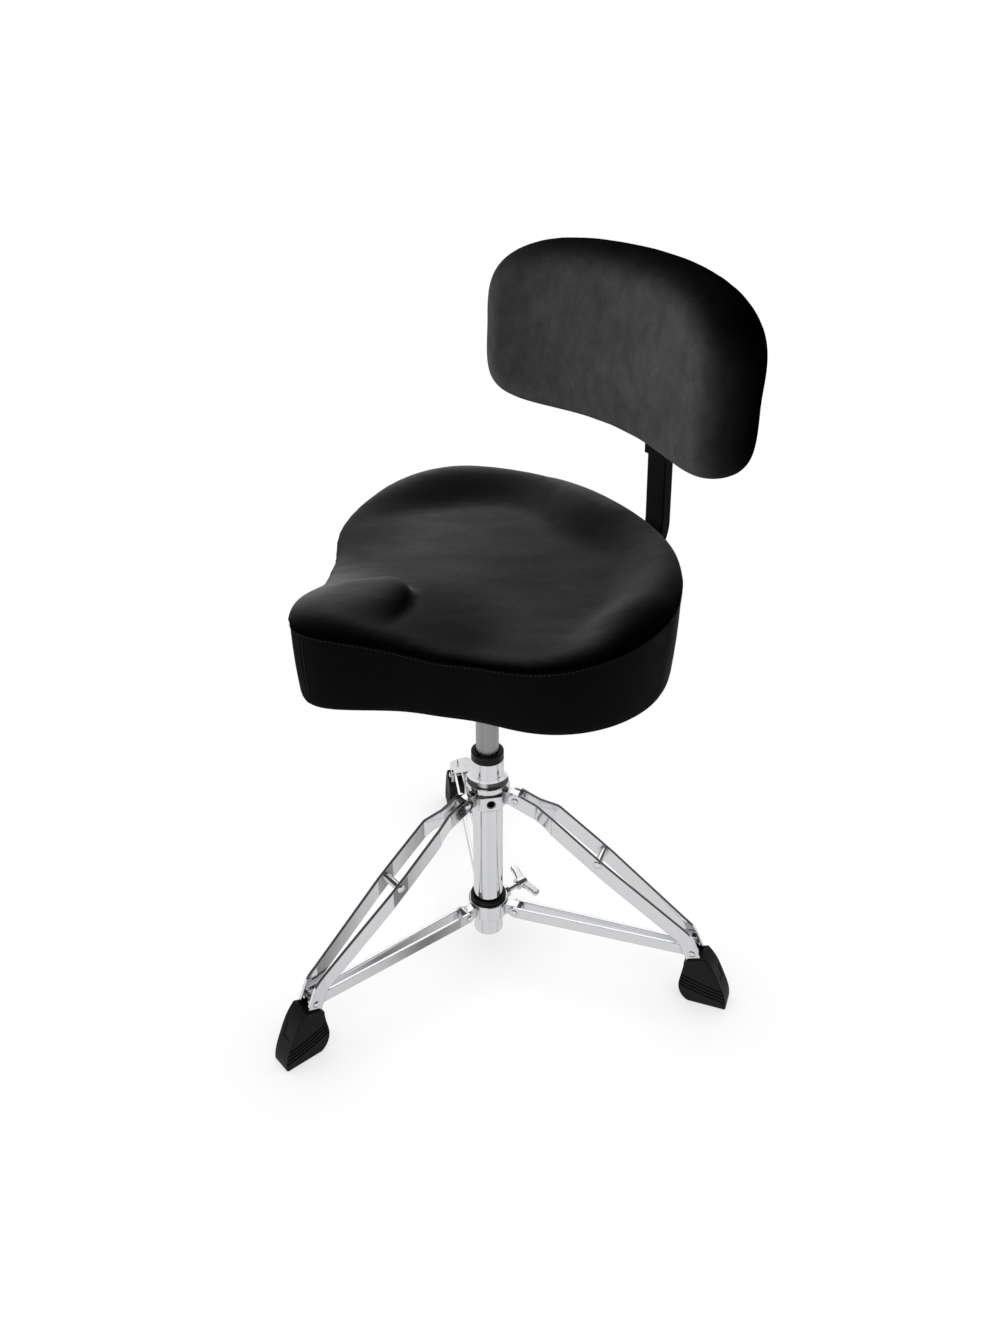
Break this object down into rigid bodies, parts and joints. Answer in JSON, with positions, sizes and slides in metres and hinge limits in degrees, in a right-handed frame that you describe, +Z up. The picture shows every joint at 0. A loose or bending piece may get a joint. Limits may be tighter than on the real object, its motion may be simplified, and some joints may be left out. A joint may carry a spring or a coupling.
{
  "type": "drum throne",
  "caption": "Drum throne with a saddle seat, an adjustable backrest, a gas-lift post and a folding double-braced tripod base on rubber feet.",
  "frame": {"origin": "on the floor, at the centre of the object's footprint; the column stands 11.1 mm towards +X and 18.1 mm towards +Y of it", "axes": "+Z up, the sitter faces -Y, +X is at the sitter's left hand"},
  "size_m": [0.5721, 0.6111, 0.8797],
  "materials": {
    "chrome": "bright polished chrome plate",
    "zinc": "zinc-plated steel",
    "satin_steel": "satin ground steel",
    "black_coat": "black powder coat, fine texture",
    "nylon": "black moulded nylon",
    "rubber": "black moulded rubber",
    "velour": "charcoal velour over foam",
    "vinyl": "black satin vinyl",
    "plywood": "unfinished plywood"
  },
  "bodies": {
    "column": {"column_tube": "chrome", "base_plate": "zinc", "tube_ferrule": "chrome", "top_collar": "chrome", "collar_set_screw": "black_coat", "top_bushing": "nylon", "upper_pin_cores": "chrome", "bearing_lower_washer": "zinc"},
    "gas_rod": {"piston_rod": "satin_steel", "retaining_clip": "zinc", "bearing_balls": "satin_steel", "bearing_upper_washer": "zinc", "gas_piston": "satin_steel"},
    "seat": {"gas_cylinder": "satin_steel", "seat_board": "plywood", "seat_cushion": "velour", "seat_side_band": "vinyl", "seat_mechanism": "black_coat", "lever_pin": "zinc", "mechanism_bolts": "zinc", "tee_nuts": "zinc", "backrest_guide": "black_coat", "guide_screws": "zinc"},
    "valve_button": {"valve_button": "satin_steel"},
    "lever": {"release_lever": "black_coat", "lever_handle": "nylon"},
    "depth_knob": {"depth_knob": "nylon"},
    "backrest_bar": {"backrest_bar": "black_coat", "bar_end_caps": "nylon"},
    "backrest_head": {"backrest_bracket": "black_coat", "pad_board": "plywood", "pad_cushion": "velour", "pad_screws": "zinc"},
    "height_knob": {"height_knob": "nylon"},
    "lower_spider": {"lower_collar": "chrome", "collar_bushing": "nylon", "lower_pivot_pins": "chrome"},
    "wing_bolt": {"wing_bolt": "chrome"},
    "brace_front": {"brace_front_strap_a": "chrome", "brace_front_strap_b": "chrome"},
    "leg_front": {"leg_front_strap_a": "chrome", "leg_front_strap_b": "chrome", "leg_front_spacer": "chrome", "leg_front_rivets": "chrome", "leg_front_foot": "rubber"},
    "brace_left": {"brace_left_strap_a": "chrome", "brace_left_strap_b": "chrome"},
    "leg_left": {"leg_left_strap_a": "chrome", "leg_left_strap_b": "chrome", "leg_left_spacer": "chrome", "leg_left_rivets": "chrome", "leg_left_foot": "rubber"},
    "brace_right": {"brace_right_strap_a": "chrome", "brace_right_strap_b": "chrome"},
    "leg_right": {"leg_right_strap_a": "chrome", "leg_right_strap_b": "chrome", "leg_right_spacer": "chrome", "leg_right_rivets": "chrome", "leg_right_foot": "rubber"}
  },
  "joints": [
    {"name": "seat_swivel", "type": "hinge", "parent": "column", "child": "gas_rod", "pos_m": [0.0111, 0.0181, 0.04], "axis": [0, 0, 1], "continuous": true},
    {"name": "seat_height", "type": "slide", "parent": "gas_rod", "child": "seat", "axis": [0, 0, 1], "range_m": [-0.05, 0.1]},
    {"name": "lever_rock", "type": "hinge", "parent": "seat", "child": "lever", "pos_m": [-0.0329, 0.0181, 0.4536], "axis": [0, 1, 0], "range_deg": [0, 5]},
    {"name": "valve_button_press", "type": "slide", "parent": "seat", "child": "valve_button", "axis": [0, 0, -1], "range_m": [0, 0.00385]},
    {"name": "depth_knob_turn", "type": "hinge", "parent": "seat", "child": "depth_knob", "pos_m": [0.0111, 0.1381, 0.43], "axis": [0, 0, 1], "continuous": true},
    {"name": "backrest_depth", "type": "slide", "parent": "seat", "child": "backrest_bar", "axis": [0, 1, 0], "range_m": [-0.015, 0.03]},
    {"name": "backrest_height", "type": "slide", "parent": "backrest_bar", "child": "backrest_head", "axis": [0, -0.0349, 0.9994], "range_m": [-0.03, 0.04]},
    {"name": "height_knob_turn", "type": "hinge", "parent": "backrest_head", "child": "height_knob", "pos_m": [0.0111, 0.28442, 0.6555], "axis": [0, 0.9994, 0.0349], "continuous": true},
    {"name": "base_fold", "type": "slide", "parent": "column", "child": "lower_spider", "axis": [0, 0, 1], "range_m": [0, 0.12378]},
    {"name": "wing_bolt_turn", "type": "hinge", "parent": "lower_spider", "child": "wing_bolt", "pos_m": [0.00888, 0.04802, 0.0702], "axis": [-0.0741, 0.9973, 0], "continuous": true},
    {"name": "brace_front_swing", "type": "hinge", "parent": "lower_spider", "child": "brace_front", "pos_m": [0.01401, -0.02109, 0.0702], "axis": [0.9973, 0.0741, 0], "range_deg": [0, 82.04]},
    {"name": "leg_front_fold", "type": "hinge", "parent": "brace_front", "child": "leg_front", "pos_m": [0.03138, -0.25485, 0.078], "axis": [0.9973, 0.0741, 0], "range_deg": [-36.73, 0]},
    {"name": "brace_left_swing", "type": "hinge", "parent": "lower_spider", "child": "brace_left", "pos_m": [0.04358, 0.04022, 0.0702], "axis": [-0.5628, 0.8266, 0], "range_deg": [0, 82.04]},
    {"name": "leg_left_fold", "type": "hinge", "parent": "brace_left", "child": "leg_left", "pos_m": [0.23734, 0.17214, 0.078], "axis": [-0.5628, 0.8266, 0], "range_deg": [-36.73, 0]},
    {"name": "brace_right_swing", "type": "hinge", "parent": "lower_spider", "child": "brace_right", "pos_m": [-0.0243, 0.03517, 0.0702], "axis": [-0.4344, -0.9007, 0], "range_deg": [0, 82.04]},
    {"name": "leg_right_fold", "type": "hinge", "parent": "brace_right", "child": "leg_right", "pos_m": [-0.23542, 0.13701, 0.078], "axis": [-0.4344, -0.9007, 0], "range_deg": [-36.73, 0]}
  ],
  "couplings": [
    {"joint": "valve_button_press", "follows": "lever_rock", "m_per_rad": 0.044},
    {"joint": "brace_front_swing", "follows": "base_fold", "rad_per_m": 11.565},
    {"joint": "leg_front_fold", "follows": "base_fold", "rad_per_m": -5.1756},
    {"joint": "brace_left_swing", "follows": "base_fold", "rad_per_m": 11.565},
    {"joint": "leg_left_fold", "follows": "base_fold", "rad_per_m": -5.1756},
    {"joint": "brace_right_swing", "follows": "base_fold", "rad_per_m": 11.565},
    {"joint": "leg_right_fold", "follows": "base_fold", "rad_per_m": -5.1756}
  ]
}
